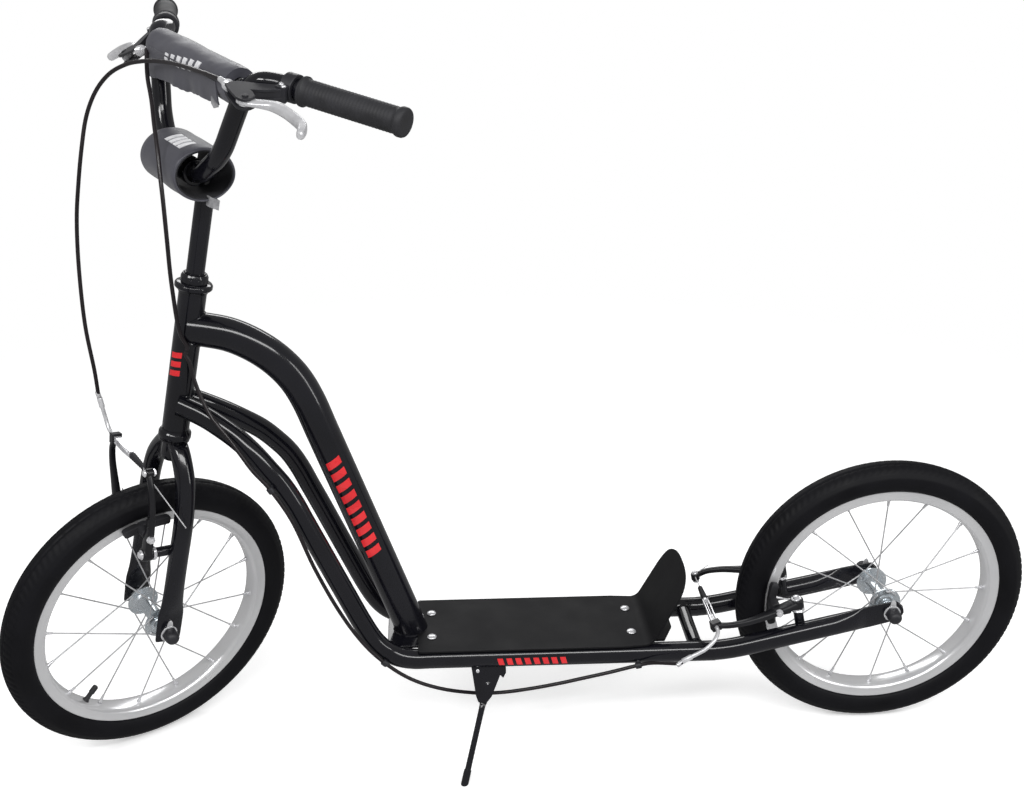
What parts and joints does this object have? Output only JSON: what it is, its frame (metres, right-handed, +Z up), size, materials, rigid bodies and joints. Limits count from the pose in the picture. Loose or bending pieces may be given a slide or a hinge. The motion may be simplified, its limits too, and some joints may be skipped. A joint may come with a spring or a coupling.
{
  "type": "kick scooter",
  "caption": "Big-wheel kick scooter on its kickstand: spoked 16-inch wheels, steel deck between low side tubes, padded high-rise handlebar turned left, rim brakes worked by hand levers",
  "frame": {"origin": "middle of the scooter's bounding box, on the ground, with the scooter standing on its wheels and kickstand", "axes": "the scooter points towards -X, its left side is towards -Y and +Z is up; the handlebar is turned 35 degrees to the left at rest"},
  "size_m": [1.366, 0.5094, 0.9702],
  "materials": {
    "frame_paint": "gloss black paint on steel",
    "deck_paint": "satin black powder coat",
    "brake_arm": "satin black on cast alloy",
    "black_plastic": "satin black nylon",
    "brake_block": "dull black moulded rubber",
    "tyre": "matt black rubber",
    "grip_rubber": "matt black soft rubber",
    "pad_vinyl": "dark grey vinyl sheet over foam",
    "zinc": "bright zinc plate",
    "rim_alloy": "polished aluminium",
    "lever_alloy": "polished aluminium",
    "spoke_steel": "bright galvanised wire",
    "bright_steel": "bright plated steel",
    "cable_sheath": "smooth black sheath"
  },
  "bodies": {
    "frame": {"head_tube": "frame_paint", "main_tube": "frame_paint", "side_tube_left": "frame_paint", "side_tube_right": "frame_paint", "deck_bridge_front": "frame_paint", "deck_bridge_rear": "frame_paint", "brake_bridge": "frame_paint", "deck_plate": "deck_paint", "deck_bolt_front_left": "bright_steel", "deck_bolt_front_right": "bright_steel", "deck_bolt_rear_left": "bright_steel", "deck_bolt_rear_right": "bright_steel", "headset_cup_lower": "frame_paint", "headset_cup_upper": "frame_paint", "kickstand_bracket": "frame_paint", "rear_axle": "zinc", "rear_nut_left": "black_plastic", "rear_nut_right": "black_plastic", "rear_noodle": "bright_steel", "rear_cable_lower": "cable_sheath"},
    "steering": {"fork": "frame_paint", "headset_locknut": "frame_paint", "stem": "frame_paint", "handlebar": "frame_paint", "crossbar": "frame_paint", "crossbar_pad": "pad_vinyl", "stem_pad": "pad_vinyl", "grip_left": "grip_rubber", "grip_right": "grip_rubber", "lever_bracket_left": "black_plastic", "lever_bracket_right": "black_plastic", "cable_adjuster_left": "bright_steel", "cable_adjuster_right": "bright_steel", "front_axle": "zinc", "front_nut_left": "black_plastic", "front_nut_right": "black_plastic", "front_noodle": "bright_steel", "front_cable": "cable_sheath", "rear_cable_upper": "cable_sheath"},
    "lever_left": {"brake_lever_left": "lever_alloy"},
    "lever_right": {"brake_lever_right": "lever_alloy"},
    "front_wheel": {"front_tyre": "tyre", "front_rim": "rim_alloy", "front_hub": "zinc", "front_spokes_left": "spoke_steel", "front_spokes_right": "spoke_steel"},
    "rear_wheel": {"rear_tyre": "tyre", "rear_rim": "rim_alloy", "rear_hub": "zinc", "rear_spokes_left": "spoke_steel", "rear_spokes_right": "spoke_steel"},
    "front_arm_anchor": {"front_brake_arm_anchor": "brake_arm", "front_brake_pad_anchor": "brake_block"},
    "front_arm_noodle": {"front_brake_arm_noodle": "brake_arm", "front_brake_pad_noodle": "brake_block"},
    "rear_arm_anchor": {"rear_brake_arm_anchor": "brake_arm", "rear_brake_pad_anchor": "brake_block"},
    "rear_arm_noodle": {"rear_brake_arm_noodle": "brake_arm", "rear_brake_pad_noodle": "brake_block"},
    "kickstand": {"kickstand_leg": "frame_paint"}
  },
  "joints": [
    {"name": "steering_turn", "type": "hinge", "parent": "frame", "child": "steering", "pos_m": [-0.51351, -0.01391, 0.2], "axis": [0.2004, 0, 0.9797], "range_deg": [-95.1, 24.9], "deforming": ["rear_cable_upper"]},
    {"name": "front_wheel_spin", "type": "hinge", "parent": "steering", "child": "front_wheel", "pos_m": [-0.51467, -0.01455, 0.19881], "axis": [0.5638, -0.8178, -0.1153], "continuous": true},
    {"name": "rear_wheel_spin", "type": "hinge", "parent": "frame", "child": "rear_wheel", "pos_m": [0.48299, -0.01391, 0.2], "axis": [0, -1, 0], "continuous": true},
    {"name": "brake_lever_left_squeeze", "type": "hinge", "parent": "steering", "child": "lever_left", "pos_m": [-0.3195, -0.17946, 0.90636], "axis": [0.0561, -0.2378, 0.9697], "range_deg": [0, 28], "stiffness_Nm_per_rad": 1, "springref_deg": -11.46},
    {"name": "brake_lever_right_squeeze", "type": "hinge", "parent": "steering", "child": "lever_right", "pos_m": [-0.49447, 0.0904, 0.91661], "axis": [0.5392, 0.1304, -0.832], "range_deg": [0, 28], "stiffness_Nm_per_rad": 1, "springref_deg": -11.46},
    {"name": "front_arm_anchor_close", "type": "hinge", "parent": "steering", "child": "front_arm_anchor", "pos_m": [-0.46567, -0.04826, 0.31331], "axis": [-0.8013, -0.5754, 0.1639], "range_deg": [0, 2.4]},
    {"name": "front_arm_noodle_close", "type": "hinge", "parent": "steering", "child": "front_arm_noodle", "pos_m": [-0.51302, 0.02044, 0.323], "axis": [0.8013, 0.5754, -0.1639], "range_deg": [0, 2.4]},
    {"name": "rear_arm_anchor_close", "type": "hinge", "parent": "frame", "child": "rear_arm_anchor", "pos_m": [0.36411, 0.02809, 0.17259], "axis": [-0.2247, 0, 0.9744], "range_deg": [0, 2.4]},
    {"name": "rear_arm_noodle_close", "type": "hinge", "parent": "frame", "child": "rear_arm_noodle", "pos_m": [0.36411, -0.05591, 0.17259], "axis": [0.2247, 0, -0.9744], "range_deg": [0, 2.4]},
    {"name": "kickstand_swing", "type": "hinge", "parent": "frame", "child": "kickstand", "pos_m": [-0.06401, -0.08458, 0.11665], "axis": [0, -0.8829, 0.4695], "range_deg": [0, 98]}
  ],
  "couplings": [
    {"joint": "front_arm_anchor_close", "follows": "brake_lever_left_squeeze", "ratio": 0.0857},
    {"joint": "front_arm_noodle_close", "follows": "brake_lever_left_squeeze", "ratio": 0.0857},
    {"joint": "rear_arm_anchor_close", "follows": "brake_lever_right_squeeze", "ratio": 0.0857},
    {"joint": "rear_arm_noodle_close", "follows": "brake_lever_right_squeeze", "ratio": 0.0857}
  ]
}
